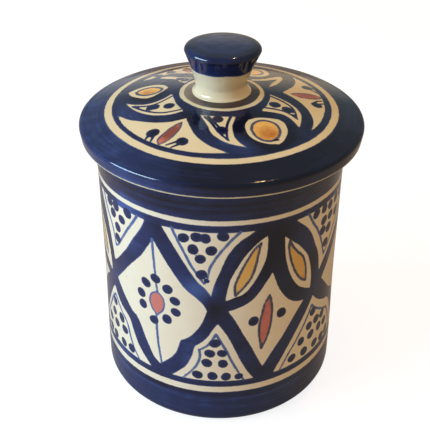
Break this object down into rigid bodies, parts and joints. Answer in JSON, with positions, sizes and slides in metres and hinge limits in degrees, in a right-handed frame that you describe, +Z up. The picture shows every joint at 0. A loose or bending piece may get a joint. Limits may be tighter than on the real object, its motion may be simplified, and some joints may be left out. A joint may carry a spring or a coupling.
{
  "type": "lidded preserving pot",
  "caption": "Round glazed earthenware storage pot with a straight wall and a loose, overhanging domed lid with a waisted knob.",
  "frame": {"origin": "middle of the face that the pot stands on, which is the bottom centre of the whole object", "axes": "+Z up along the axis that every piece was turned about; -Y faces the viewer of the picture"},
  "size_m": [0.1238, 0.1238, 0.1649],
  "materials": {
    "pot_glaze": "glossy cream tin glaze with a hand-painted cobalt blue, ochre and red-brown pattern; dry clay under the foot",
    "lid_glaze": "glossy cobalt blue and cream glaze, hand-painted",
    "knob_glaze": "glossy glaze, cobalt blue on the top and cream on the stem"
  },
  "bodies": {
    "pot": {"pot": "pot_glaze"},
    "lid": {"lid": "lid_glaze", "lid_knob": "knob_glaze"}
  },
  "joints": [
    {"name": "lid_lift", "type": "slide", "parent": "pot", "child": "lid", "axis": [0, 0, 1], "range_m": [0, 0.1]}
  ]
}
